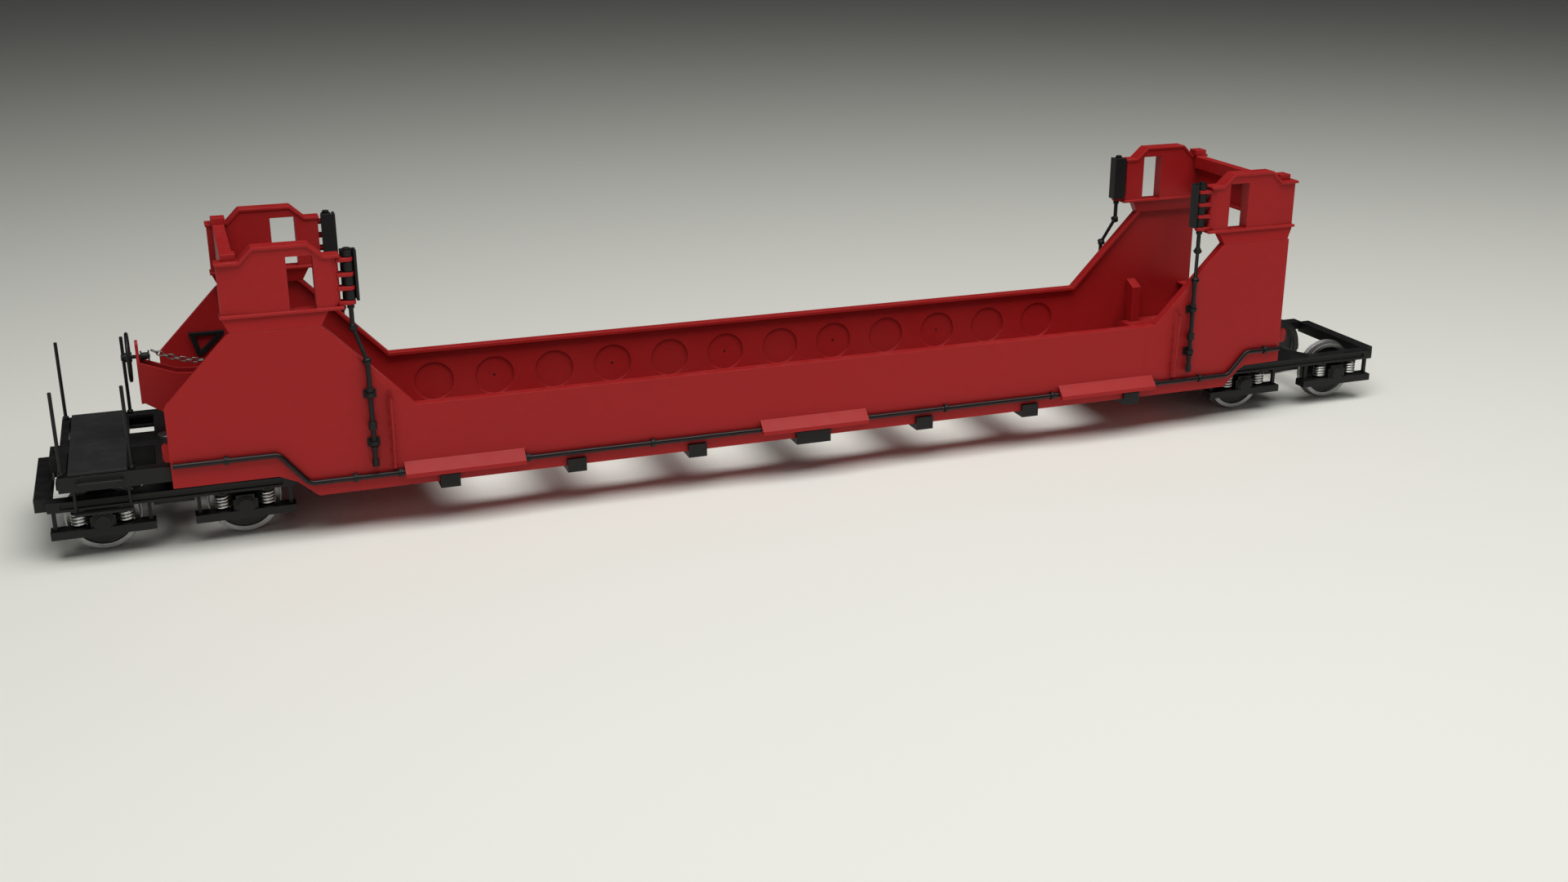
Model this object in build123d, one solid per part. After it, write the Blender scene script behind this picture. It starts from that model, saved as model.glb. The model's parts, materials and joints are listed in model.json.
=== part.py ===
from build123d import *
import math
import os

# Railway well wagon with container seats, four corner towers with guide flaps, two bogies and
# a brake platform at end a.
# Working frame (mm): X along the wagon, 0 at the middle of the well, end a at -X, end b at +X.
# Y across it, front at -Y. Z up, 0 on the rail top.
# Saved pieces are shifted so that the origin is the bottom centre of the whole.
ORIGIN_SHIFT = (5.65, 0, 1.0)
SIGNS = (-1, 1)
CORNERS = {"a_front": (-1, -1), "a_rear": (-1, 1), "b_front": (1, -1), "b_rear": (1, 1)}

# ---- dimensions shared between sections
SIDE_Y, SIDE_T = 43.5, 2.0               # half width over the side plates, their thickness
SILL_TOP, SILL_BOT = 54.3, 18.6          # level part of the side plates
NECK_IN, NECK_OUT, NECK_Z = 215.2, 251.5, 92.0
FLOOR_T = 1.3
FLOOR_TOP = SILL_BOT + FLOOR_T
FLOOR_X, FLOOR_Y = 207.5, 38.6           # half sizes of the well floor
CENTRE_SILL_Y, CENTRE_SILL_WALL, CENTRE_SILL_BOT = 9.2, 1.6, 27.6
DECK_Z = 38.0
NOSE_TOP = 33.6                          # low end of the centre sill at end b
BOGIE_X = {"a": -280.3, "b": 269.0}
KING_R, PIVOT_R = 2.5, 7.4
PIN_X, PIN_Y, PIN_R = 202.6, 39.6, 1.0   # flap hinge rod
FINGER_R = 2.3
RUN = 0.08                               # radial running clearance
FIT = 0.01                               # radial clearance of a close fit


# ---- helpers
def box(x0, x1, y0, y1, z0, z1):
    centre = Pos((x0 + x1) / 2, (y0 + y1) / 2, (z0 + z1) / 2)
    return centre * Box(abs(x1 - x0), abs(y1 - y0), abs(z1 - z0))


def face(points):
    return make_face(Polyline(*[Vector(*p) for p in points], close=True))


def level_rect(x0, x1, y0, y1, z):
    return face([(x0, y0, z), (x1, y0, z), (x1, y1, z), (x0, y1, z)])


def prism_xz(points, y0, y1):
    outline = face([(x, y0, z) for x, z in points])
    return extrude(outline, amount=abs(y1 - y0), dir=(0, 1 if y1 > y0 else -1, 0))


def prism_xy(points, z0, z1):
    outline = face([(x, y, z0) for x, y in points])
    return extrude(outline, amount=abs(z1 - z0), dir=(0, 0, 1 if z1 > z0 else -1))


def prism_yz(points, x0, x1):
    outline = face([(x0, y, z) for y, z in points])
    return extrude(outline, amount=abs(x1 - x0), dir=(1 if x1 > x0 else -1, 0, 0))


def rod(start, end, radius):
    start, end = Vector(*start), Vector(*end)
    along = end - start
    bottom = (Align.CENTER, Align.CENTER, Align.MIN)
    return Plane(origin=start, z_dir=along) * Cylinder(radius, along.length, align=bottom)


def rod_x(x0, x1, y, z, radius):
    return rod((x0, y, z), (x1, y, z), radius)


def rod_y(x, y0, y1, z, radius):
    return rod((x, y0, z), (x, y1, z), radius)


def rod_z(x, y, z0, z1, radius):
    return rod((x, y, z0), (x, y, z1), radius)


def ball(centre, radius):
    return Pos(*centre) * Sphere(radius)


def swap_ends(shape):
    return mirror(shape, about=Plane.YZ)


def swap_sides(shape):
    return mirror(shape, about=Plane.XZ)


def to_corner(shape, x_sign, y_sign):
    """Place a shape drawn at +X, -Y at another corner."""
    if x_sign < 0:
        shape = swap_ends(shape)
    if y_sign > 0:
        shape = swap_sides(shape)
    return shape


def save(name, *shapes):
    solids = [Pos(*ORIGIN_SHIFT) * solid for shape in shapes for solid in shape.solids()]
    piece = solids[0] if len(solids) == 1 else Compound(children=solids)
    export_step(piece, "parts/" + name + ".step")


def save_corners(name, shape):
    for corner, signs in CORNERS.items():
        save(name + "_" + corner, to_corner(shape, *signs))


os.makedirs("parts", exist_ok=True)

# ---- side plates
WELL_X = 179.3                           # half length of the level sill
CHORD_W, CHORD_T = 4.8, 1.6              # flange along the top edge
END_A_X, END_B_X, END_BOT = 279.8, 252.4, 29.0
RIB_X, RIB_T, RIB_Y = 189.6, 1.5, 48.0
RECESS_R, RECESS_D, RECESS_Z, RECESS_PITCH, RECESSES = 9.3, 1.1, 37.6, 29.0, 12
WELL_EDGE = [(-NECK_IN, NECK_Z), (-WELL_X, SILL_TOP), (WELL_X, SILL_TOP), (NECK_IN, NECK_Z)]
SIDE_OUTLINE = [                         # x, z
    (-END_A_X, END_BOT), (-END_A_X, 62.6), (-279.2, 64.4), (-253.2, 91.2), (-252.2, NECK_Z),
    *WELL_EDGE, (END_B_X, NECK_Z), (END_B_X, END_BOT),
    (232.5, 28.6), (228.9, 26.4), (222.6, 19.6), (221.0, SILL_BOT),
    (-222.4, SILL_BOT), (-224.4, 20.2), (-230.5, 25.7), (-237.9, END_BOT),
]
LUGS = (                                 # plate end x, outward sign, x steps, z corners upward
    (END_B_X, 1, 2.4, 3.6, 38.6, 40.0, 44.2, 45.6),
    (-END_A_X, -1, 1.6, 2.6, 40.6, 41.8, 47.2, 48.4),
)


def side_plate():
    """Front plate, at -Y."""
    plate = prism_xz(SIDE_OUTLINE, -SIDE_Y, -SIDE_Y + SIDE_T)
    # the chord's underside runs parallel to the well edge
    slope = math.hypot(NECK_IN - WELL_X, NECK_Z - SILL_TOP)
    along_x, along_z = (NECK_IN - WELL_X) / slope, (NECK_Z - SILL_TOP) / slope
    offset_x, offset_z = WELL_X + along_z * CHORD_T, SILL_TOP - along_x * CHORD_T
    low_x = offset_x + (SILL_TOP - CHORD_T - offset_z) / along_z * along_x
    neck_x = offset_x + (NECK_Z - offset_z) / along_z * along_x
    underside = [(neck_x, NECK_Z), (low_x, SILL_TOP - CHORD_T),
                 (-low_x, SILL_TOP - CHORD_T), (-neck_x, NECK_Z)]
    plate += prism_xz(WELL_EDGE + underside, -SIDE_Y, -SIDE_Y + CHORD_W)
    plate += box(-220, 220, -SIDE_Y, -SIDE_Y + CHORD_W, SILL_BOT, SILL_BOT + 1.4)
    # shallow round recesses on the inner face
    inner_y = -SIDE_Y + SIDE_T
    for i in range(RECESSES):
        x = RECESS_PITCH * (i - (RECESSES - 1) / 2)
        plate -= rod_y(x, inner_y - RECESS_D, inner_y + 1, RECESS_Z, RECESS_R)
    rib_profile = [(-SIDE_Y + 0.3, 27.6), (-SIDE_Y + 0.3, 62.0), (-SIDE_Y, 62.0),
                   (-RIB_Y, 59.2), (-RIB_Y + 2.1, 27.6)]
    rib = prism_yz(rib_profile, RIB_X, RIB_X + RIB_T)
    plate += swap_ends(rib)
    plate += rib
    for x, out, step, tip, z0, z1, z2, z3 in LUGS:
        plate += prism_xz([(x - out, z0), (x - out, z3), (x + out * step, z3),
                           (x + out * tip, z2), (x + out * tip, z1), (x + out * step, z0)],
                          -SIDE_Y + 0.2, inner_y)
    return plate


front_plate = side_plate()
save("side_plate_front", front_plate)
save("side_plate_rear", swap_sides(front_plate))

# ---- towers
TOWER_IN, TOWER_OUT = 206.5, 254.0
TOWER_Z0, SHOULDER_Z, TOWER_TOP = 98.0, 121.0, 126.5
TOWER_YI, TOWER_YO = 36.8, 43.1
CAP_T, CAP_YI, CAP_YO = 1.3, 36.2, 44.0
EAVES_Z, CEILING_Z = SHOULDER_Z - CAP_T, TOWER_TOP - CAP_T
CAP_OVER = [(212.0, SHOULDER_Z), (218.0, TOWER_TOP), (240.0, TOWER_TOP), (245.5, SHOULDER_Z)]
CAP_UNDER = [(212.5, EAVES_Z), (218.5, CEILING_Z), (239.5, CEILING_Z), (245.0, EAVES_Z)]
CAP_X0, CAP_X1 = 205.9, 254.6
WINDOW_X0, WINDOW_X1, WINDOW_TOP = 216.5, 227.0, 121.5
FINGER_Z, FINGER_T = (118.2, 112.0, 106.2, 100.1), 1.7


def tower():
    """Corner tower on the neck, drawn at +X, -Y."""
    plan = [(TOWER_IN, -TOWER_YI), (TOWER_OUT, -TOWER_YI), (TOWER_OUT, -TOWER_YO + 0.8),
            (238.6, -TOWER_YO), (209.4, -TOWER_YO), (TOWER_IN, -TOWER_YO + 2.2)]
    body = prism_xy(plan, TOWER_Z0 + 1.0, TOWER_TOP)
    body = body & prism_xz([(200, TOWER_Z0), (200, EAVES_Z), *CAP_UNDER,
                            (260, EAVES_Z), (260, TOWER_Z0)], -60, -20)
    body += prism_xz([(CAP_X0, SHOULDER_Z), *CAP_OVER, (CAP_X1, SHOULDER_Z),
                      (CAP_X1, EAVES_Z), *reversed(CAP_UNDER), (CAP_X0, EAVES_Z)],
                     -CAP_YO, -CAP_YI)
    base_top = TOWER_Z0 + 1.2
    body += box(205.5, CAP_X1, -CAP_YO, -CAP_YI, TOWER_Z0, base_top)
    body -= box(WINDOW_X0, WINDOW_X1, -60, -20, base_top, WINDOW_TOP)
    # flare from the neck out to the base
    body += loft([level_rect(NECK_IN, NECK_OUT, -SIDE_Y, -38.7, NECK_Z),
                  level_rect(212.0, 254.0, -42.8, -37.4, TOWER_Z0)])
    # hinge fingers
    for z in FINGER_Z:
        z0, z1 = z - FINGER_T / 2, z + FINGER_T / 2
        finger = box(PIN_X, TOWER_IN + 0.8, -PIN_Y - FINGER_R, -PIN_Y + FINGER_R, z0, z1)
        finger += rod_z(PIN_X, -PIN_Y, z0, z1, FINGER_R)
        body += finger
    body -= rod_z(PIN_X, -PIN_Y, 95.0, 125.0, PIN_R + RUN)
    return body


save_corners("tower", tower())


# ---- cross-beams between the towers
def cross_beam():
    """Inverted channel with an outer web and foot, drawn at +X."""
    x0, x1, half_y = 246.5, 251.5, 36.2
    web_x, foot_z = 250.3, 99.4
    beam = box(x0, x1, -half_y, half_y, 114.3, 120.4)
    beam -= box(247.6, web_x, -half_y - 0.1, half_y + 0.1, 114.2, 119.2)
    beam += box(web_x, x1, -half_y, half_y, foot_z, 115.0)
    beam += box(247.4, x1, -half_y, half_y, foot_z, foot_z + 1.2)
    for side in SIGNS:
        ear = box(246.0, 252.0, side * 34.0, side * 40.5, 121.0, 123.8)
        ear += box(x0, x1, side * 34.0, side * half_y, 120.0, 121.5)
        beam += ear
    return beam


beam_b = cross_beam()
save("cross_beams", swap_ends(beam_b), beam_b)

# ---- well floor, cross-members and container seats
OPENING_X = (-139.6, -83.8, -28.0, 28.0, 83.8, 139.6)
OPENING_HALF_X, OPENING_HALF_Y, OPENING_CORNER_R = 18.0, 25.0, 6.0
CROSS_X = (-167.5, -111.7, -56.0, 0.0, 56.0, 111.7, 167.5)
CROSS_Y, CROSS_BOT = 45.2, 15.8          # half length and underside of a cross-member
SEAT_X, SEAT_Y = 187.5, 35.1


def well_floor():
    floor = box(-FLOOR_X, FLOOR_X, -FLOOR_Y, FLOOR_Y, SILL_BOT, FLOOR_TOP)
    for x in OPENING_X:
        opening = box(x - OPENING_HALF_X, x + OPENING_HALF_X, -OPENING_HALF_Y, OPENING_HALF_Y, 0, 40)
        floor -= fillet(opening.edges().filter_by(Axis.Z), OPENING_CORNER_R)
    return floor


def cross_member(x):
    half = 8.4 if x == 0.0 else 4.3      # the middle one is wider
    web, inner_y = 1.2, 36.0
    x0, x1 = x - half, x + half
    member = box(x0, x1, -CROSS_Y, CROSS_Y, CROSS_BOT, 17.0)
    member += box(x0, x1, -inner_y, inner_y, 17.3, SILL_BOT)
    member += box(x - web, x + web, -CROSS_Y, CROSS_Y, 16.5, 18.0)
    member += box(x0, x1, -CROSS_Y, CROSS_Y, 17.0, 17.4)
    member += box(x0, x1, -CROSS_Y, -inner_y, 17.0, SILL_BOT)
    member += box(x0, x1, inner_y, CROSS_Y, 17.0, SILL_BOT)
    for side in SIGNS:
        member += box(x0, x1, side * SIDE_Y, side * CROSS_Y, CROSS_BOT, 21.9)
    # open the beam between the flanges
    for side in SIGNS:
        for end in SIGNS:
            member -= box(x + end * web, x + end * (half + 1), side * 2.0, side * 34.0, 16.9, 17.6)
    return member


def container_seat(x, y):
    pad_t, peg_r, peg_h, tip_h = 1.2, 1.5, 1.2, 0.5
    pad_top = FLOOR_TOP + pad_t
    seat = box(x - 4.0, x + 4.0, y - 3.2, y + 3.2, FLOOR_TOP, pad_top)
    seat += Pos(x, y, pad_top + peg_h / 2) * Cylinder(peg_r, peg_h)
    seat += Pos(x, y, pad_top + peg_h + tip_h / 2) * Cone(peg_r, 0.9, tip_h)
    return seat


save("well_floor", well_floor())
save("cross_members", *[cross_member(x) for x in CROSS_X])
save("container_seats", *[container_seat(end * SEAT_X, side * SEAT_Y)
                          for end in SIGNS for side in SIGNS])


# ---- end bulkheads
def bulkhead():
    """Step up from the well floor to the end wall, drawn at +X."""
    wall_y, wall_top, outer_x = 41.45, 51.4, 250.1
    shelf_z0, shelf_z1 = 31.8, 33.2
    wall = box(FLOOR_X, 209.5, -FLOOR_Y, FLOOR_Y, SILL_BOT, shelf_z1)
    wall += box(FLOOR_X, outer_x, -FLOOR_Y, FLOOR_Y, shelf_z0, shelf_z1)
    wall += box(220.5, outer_x, -wall_y, wall_y, shelf_z0, shelf_z1)
    wall += box(248.1, outer_x, -wall_y, wall_y, 33.0, wall_top)
    wall += box(244.6, outer_x, -wall_y, wall_y, wall_top - 1.2, wall_top)
    for side in SIGNS:
        wall += prism_yz([(side * wall_y, shelf_z0), (side * wall_y, 55.5),
                          (side * 34.3, 52.2), (side * 34.3, shelf_z0)], 213.0, 218.0)
        wall += prism_xz([(226.0, 33.0), (248.4, 33.0), (248.4, 50.4), (245.2, 50.4)],
                         side * 20.0, side * 21.4)
    # the centre sill passes through
    gap_y = CENTRE_SILL_Y + 0.05
    wall -= box(209.55, 260.0, -gap_y, gap_y, 27.0, DECK_Z + 0.05)
    return wall


bulkhead_b = bulkhead()
save("end_bulkheads", swap_ends(bulkhead_b), bulkhead_b)


# ---- end frames and king pins
def sill_block(x0, x1, top=DECK_Z):
    return box(x0, x1, -CENTRE_SILL_Y, CENTRE_SILL_Y, CENTRE_SILL_BOT, top)


def sill_pocket(x0, x1):
    """Cutter that hollows the centre sill from below."""
    half_y = CENTRE_SILL_Y - CENTRE_SILL_WALL
    return box(x0, x1, -half_y, half_y, 27.0, DECK_Z - CENTRE_SILL_WALL)


def centre_plate(x):
    return rod_z(x, 0, 26.6, 28.2, PIVOT_R)


def king_hole(x):
    return rod_z(x, 0, 20.0, 50.0, KING_R + FIT)


def end_frame_a():
    outer_x, beam_bot, beam_y = -323.3, 31.6, 41.3
    hollow_z = (33.0, 36.6)
    frame = sill_block(-323.0, -209.6)
    frame -= sill_pocket(-330.0, -291.0)
    frame -= sill_pocket(-268.0, -212.0)
    for side in SIGNS:
        beam = box(outer_x, -262.0, side * 35.3, side * beam_y, beam_bot, DECK_Z)
        beam -= box(-319.8, -263.5, side * 34.0, side * 39.9, *hollow_z)
        frame += beam
    frame += box(outer_x, -320.0, -beam_y, beam_y, beam_bot, DECK_Z)
    # the hollow is cut from the whole frame, after its cross-beam is added
    frame += box(-285.3, -275.3, -35.6, 35.6, beam_bot, DECK_Z) - box(
        -283.9, -276.7, -34.0, 34.0, *hollow_z)
    frame += box(-298.0, -295.6, -35.6, 35.6, 34.0, DECK_Z)
    frame += centre_plate(BOGIE_X["a"])
    # drawbar head at the end of the sill
    frame += box(-327.4, -322.6, -7.5, 7.5, 29.6, 36.4)
    frame += box(-326.6, -322.6, -4.5, 4.5, 26.4, 30.0)
    frame += sill_block(-323.0, -316.0)
    frame -= rod_z(-324.9, 0, 20.0, 40.0, 1.5)
    frame -= king_hole(BOGIE_X["a"])
    return frame


def end_frame_b():
    x = BOGIE_X["b"]
    frame = sill_block(209.6, 252.0) - sill_pocket(212.0, 249.0)
    frame += sill_block(251.0, x, NOSE_TOP)
    frame += rod_z(x, 0, CENTRE_SILL_BOT, NOSE_TOP, CENTRE_SILL_Y)
    gusset = [(250.3, -34.0), (252.4, -34.0), (268.0, -9.0),
              (268.0, 9.0), (252.4, 34.0), (250.3, 34.0)]
    frame += prism_xy(gusset, 31.8, 33.4)
    frame += centre_plate(x)
    frame -= king_hole(x)
    return frame


def king_pin(x, top):
    return rod_z(x, 0, 16.6, top, KING_R) + rod_z(x, 0, top, top + 1.2, 3.8)


save("end_frame_a", end_frame_a())
save("end_frame_b", end_frame_b())
save("king_pins", king_pin(BOGIE_X["a"], DECK_Z), king_pin(BOGIE_X["b"], NOSE_TOP))


# ---- brake platform
def platform_post(x, y):
    return rod_z(x, y, DECK_Z, 73.4, 0.75) + rod_z(x, y, DECK_Z, DECK_Z + 1.6, 1.3)


def step(side):
    """Tread hung from two rods."""
    irons = rod_z(-317.7, side * 40.0, 22.0, 31.6, 0.6)
    irons += rod_z(-296.9, side * 40.0, 22.0, 31.6, 0.6)
    irons += box(-318.6, -296.0, side * 38.7, side * 42.0, 21.3, 22.3)
    return irons


def grab_iron(side):
    x0, x1, z, radius = -315.8, -298.8, 35.2, 0.5
    y_in, y_out = side * 41.3, side * 43.4
    iron = rod_y(x0, y_in, y_out, z, radius) + rod_y(x1, y_in, y_out, z, radius)
    iron += rod_x(x0, x1, y_out, z, radius) + ball((x0, y_out, z), radius)
    iron += ball((x1, y_out, z), radius)
    return iron


save("platform_deck", box(-319.2, -296.5, -40.5, 40.5, DECK_Z, DECK_Z + 1.3))
save("platform_posts", *[platform_post(x, side * 38.4)
                         for x in (-321.6, -294.8) for side in SIGNS])
save("steps_and_grab_irons", *[step(side) for side in SIGNS],
     *[grab_iron(side) for side in SIGNS])

# ---- hand brake
WHEEL_X, WHEEL_Z, WHEEL_R, RIM_R, SPOKES = -291.5, 74.3, 10.6, 0.75, 5
BRAKE_SHAFT_R = 0.8
STAND_YI, STAND_YO = 3.4, 4.4            # inner and outer faces of the stand's webs
STAND_WEB = [                            # x, z
    (-287.5, 72.6), (-273.3, 66.9), (-268.0, 66.4), (-250.2, 66.4), (-250.2, DECK_Z),
    (-262.5, DECK_Z), (-280.6, 50.3), (-287.5, 54.9),
]
STAND_FLANGE = [                         # x, z
    (-287.5, 54.9), (-280.6, 50.3), (-262.5, DECK_Z), (-261.0, DECK_Z), (-280.2, 51.3),
    (-287.5, 56.2),
]
STAND_END = [                            # y, z
    (-4.4, 54.6), (-4.4, 73.0), (-2.3, 77.0), (-2.3, 80.0), (-1.3, 81.2),
    (1.3, 81.2), (2.3, 80.0), (2.3, 77.0), (4.4, 73.0), (4.4, 54.6),
]
BRAKE_SHAFT_DISCS = (                    # x0, x1, radius: drum, its flanges and the outer nut
    (-286.9, -286.3, 2.3), (-286.5, -283.6, 1.5), (-283.8, -283.2, 2.3), (-294.6, -293.5, 1.3),
)


def brake_stand():
    stand = prism_xz(STAND_WEB, STAND_YI, STAND_YO) + prism_xz(STAND_WEB, -STAND_YO, -STAND_YI)
    stand += prism_xz(STAND_FLANGE, -STAND_YO, STAND_YO)
    stand += prism_yz(STAND_END, -288.6, -287.4)
    stand -= rod_x(-295, -280, 0, WHEEL_Z, BRAKE_SHAFT_R + RUN)
    # chain anchor pin between two ears
    stand += rod_y(-259.0, -STAND_YO, STAND_YO, 67.6, 0.7)
    for side in SIGNS:
        stand += prism_xz([(-261.5, 66.0), (-260.2, 69.0), (-257.8, 69.0), (-256.5, 66.0)],
                          side * STAND_YI, side * STAND_YO)
    return stand


def brake_wheel():
    wheel = Pos(WHEEL_X, 0, WHEEL_Z) * Rot(0, 90, 0) * Torus(WHEEL_R - RIM_R, RIM_R)
    wheel += rod_x(-293.4, -290.2, 0, WHEEL_Z, 2.0)
    inner, outer = 1.4, WHEEL_R - 0.9    # radii at the ends of a spoke
    for i in range(SPOKES):
        angle = math.radians(90 + 360 / SPOKES * i)
        y, z = math.cos(angle), math.sin(angle)
        wheel += rod((-291.6, inner * y, WHEEL_Z + inner * z),
                     (WHEEL_X, outer * y, WHEEL_Z + outer * z), 0.55)
    wheel -= rod_x(-300, -285, 0, WHEEL_Z, BRAKE_SHAFT_R + FIT)
    return wheel


def brake_shaft():
    shaft = rod_x(-294.0, -283.0, 0, WHEEL_Z, BRAKE_SHAFT_R)
    for x0, x1, radius in BRAKE_SHAFT_DISCS:
        shaft += rod_x(x0, x1, 0, WHEEL_Z, radius)
    return shaft


save("brake_stand", brake_stand())
save("brake_wheel", brake_wheel())
save("brake_shaft", brake_shaft())

# ---- brake chain: stadium links, alternately flat and upright, from the drum to the anchor pin
LINK_INNER, LINK_HALF_W, LINK_R = 2.5, 0.95, 0.27  # inner length, half width to wire centre, wire
LINK_PITCH = LINK_INNER - 0.12
CHAIN_X0, CHAIN_Z0, CHAIN_X1, CHAIN_Z1, CHAIN_SAG = -282.1, 76.4, -259.6, 70.2, 1.7


def chain_link(start, end, upright):
    along = (end - start).normalized()
    across = Vector(0, 1, 0)
    width_dir = along.cross(across).normalized() if upright else across
    plane = Plane(origin=(start + end) * 0.5, x_dir=along, z_dir=along.cross(width_dir))
    w = LINK_HALF_W
    half = LINK_INNER / 2 + LINK_R - w
    corners = [(-half, w), (half, w), (half + w, 0), (half, -w), (-half, -w), (-half - w, 0)]
    p = [plane.from_local_coords(Vector(x, y, 0)) for x, y in corners]
    path = Wire([Edge.make_line(p[0], p[1]), Edge.make_three_point_arc(p[1], p[2], p[3]),
                 Edge.make_line(p[3], p[4]), Edge.make_three_point_arc(p[4], p[5], p[0])])
    return sweep(Plane(origin=p[0], z_dir=along) * Circle(LINK_R), path=path)


def chain_point(t):
    """Point on the shallow sag, t from 0 at the drum to 1 at the pin."""
    return Vector(CHAIN_X0 + (CHAIN_X1 - CHAIN_X0) * t, 0.0,
                  CHAIN_Z0 + (CHAIN_Z1 - CHAIN_Z0) * t - 4 * CHAIN_SAG * t * (1 - t))


def brake_chain():
    # walk the curve in equal chords
    points = [chain_point(0)]
    t = 0.0
    while t < 1.0:
        while t < 1.2 and (chain_point(t) - points[-1]).length < LINK_PITCH:
            t += 0.0005
        if t < 1.0:
            points.append(chain_point(t))
    return [chain_link(points[i], points[i + 1], i % 2) for i in range(len(points) - 1)]


save("brake_chain", *brake_chain())


# ---- triangular brackets inside end a
def end_bracket(side):
    outline = [(-266.6, 71.8), (-251.4, 71.8), (-251.4, 70.0), (-261.2, 61.0), (-263.6, 61.0)]
    inner_y = SIDE_Y - SIDE_T
    bracket = prism_xz(outline, side * inner_y, side * (inner_y - 1.6))
    bracket -= prism_xz([(-263.6, 70.0), (-254.6, 70.0), (-262.0, 63.4)], side * 50, side * 30)
    return bracket


save("end_brackets", *[end_bracket(side) for side in SIGNS])

# ---- brake pipes, clamps and covers, drawn at -Y
PIPE_R, PIPE_Y, CLAMP_R, CLAMP_HALF_X = 1.15, 44.75, 1.75, 0.9
PIPE_Z, PIPE_Z_A, PIPE_Z_B = 25.0, 39.0, 36.0      # along the well, at end a, at end b
PIPE_ROUTE = [                           # x, z
    (-279.2, PIPE_Z_A), (-237.3, PIPE_Z_A), (-225.8, PIPE_Z),
    (222.2, PIPE_Z), (232.2, PIPE_Z_B), (251.6, PIPE_Z_B),
]
CLAMP_X = (-258.0, -207.0, -188.3, -133.4, -76.9, 67.0, 123.3, 180.4, 206.0, 243.0)
COVER_SPANS = ((-186.5, -134.7), (-25.6, 26.2), (127.3, 179.0))


def brake_pipe():
    points = [(x, -PIPE_Y, z) for x, z in PIPE_ROUTE]
    path = FilletPolyline(*points, radius=4.0)
    return sweep(Plane(origin=points[0], z_dir=(1, 0, 0)) * Circle(PIPE_R), path=path)


def pipe_clamp(x):
    z = PIPE_Z_A if x < -240 else (PIPE_Z_B if x > 235 else PIPE_Z)
    x0, x1 = x - CLAMP_HALF_X, x + CLAMP_HALF_X
    clamp = rod_x(x0, x1, -PIPE_Y, z, CLAMP_R)
    clamp += box(x0, x1, -PIPE_Y, -SIDE_Y, z - CLAMP_R, z + CLAMP_R)
    clamp = clamp & box(x - 2, x + 2, -60, -SIDE_Y, z - 5, z + 5)
    clamp -= rod_x(x - 3, x + 3, -PIPE_Y, z, PIPE_R + FIT)
    return clamp


def pipe_cover(x0, x1):
    wall, gap = 0.9, 0.12
    cover = prism_yz([(-SIDE_Y, 29.2), (-48.2, 25.0), (-48.2, 23.2), (-SIDE_Y, 23.2)], x0, x1)
    cover = cover - prism_yz([(-SIDE_Y + 1, 29.0), (-SIDE_Y, 28.1), (-47.3, 24.6), (-47.3, 22.0),
                              (-SIDE_Y + 1, 22.0)], x0 + wall, x1 - wall)
    # let the pipe through the end walls, open below
    cover -= rod_x(x0 - 1, x1 + 1, -PIPE_Y, PIPE_Z, PIPE_R + gap)
    cover -= box(x0 - 1, x1 + 1, -PIPE_Y - PIPE_R - gap, -SIDE_Y + 1.0, 20, PIPE_Z)
    return cover


def save_both_sides(name, shapes):
    save(name, *shapes, *[swap_sides(shape) for shape in shapes])


save_both_sides("brake_pipes", [brake_pipe()])
save_both_sides("pipe_clamps", [pipe_clamp(x) for x in CLAMP_X])
save_both_sides("pipe_covers", [pipe_cover(*span) for span in COVER_SPANS])

# ---- guide flaps and their shafts, drawn at +X, -Y
FLAP_X0, FLAP_Z0, FLAP_Z1 = 198.8, 100.6, 121.9
KNUCKLES = ((119.35, 121.9), (113.15, 117.05), (107.35, 111.05), (101.25, 105.05))  # z0, z1
SHAFT_X, SHAFT_Y, SHAFT_R, SHAFT_BOT = 198.4, 45.7, 1.0, 29.6
UPPER_JOINT = Vector(PIN_X, -PIN_Y, 89.5)
LOWER_JOINT = Vector(SHAFT_X, -SHAFT_Y, 75.5)
BALL_R, CUP_RI, CUP_RO = 1.6, 1.7, 2.15
COLLARS = ((46.1, 49.3, 1.75), (62.6, 63.8, 1.5), (37.4, 38.6, 1.5))   # z0, z1, radius
BRACKET_Z = (61.3, 39.9)


def guide_flap():
    y_in, y_out = -PIN_Y + 3.9, -PIN_Y + 2.5
    flap = box(FLAP_X0, 205.2, y_out, y_in, FLAP_Z0, FLAP_Z1)
    flap += box(FLAP_X0, FLAP_X0 + 1.2, -PIN_Y - 1.6, y_in, FLAP_Z0, FLAP_Z1)
    for z0, z1 in KNUCKLES:
        flap += rod_z(PIN_X, -PIN_Y, z0, z1, FINGER_R - 0.1)
        flap += box(PIN_X - 2.0, PIN_X + 1.6, -PIN_Y, y_out + 0.2, z0, z1)
    flap -= rod_z(PIN_X, -PIN_Y, 90, 130, PIN_R + FIT)
    return flap


def hinge_rod():
    pin = rod_z(PIN_X, -PIN_Y, UPPER_JOINT.Z, 122.0, PIN_R)
    pin += rod_z(PIN_X, -PIN_Y, 121.95, 122.9, 1.5)
    pin += ball(UPPER_JOINT, BALL_R)
    pin += rod_z(PIN_X, -PIN_Y, 97.4, 99.0, 1.5)
    return pin


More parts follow.
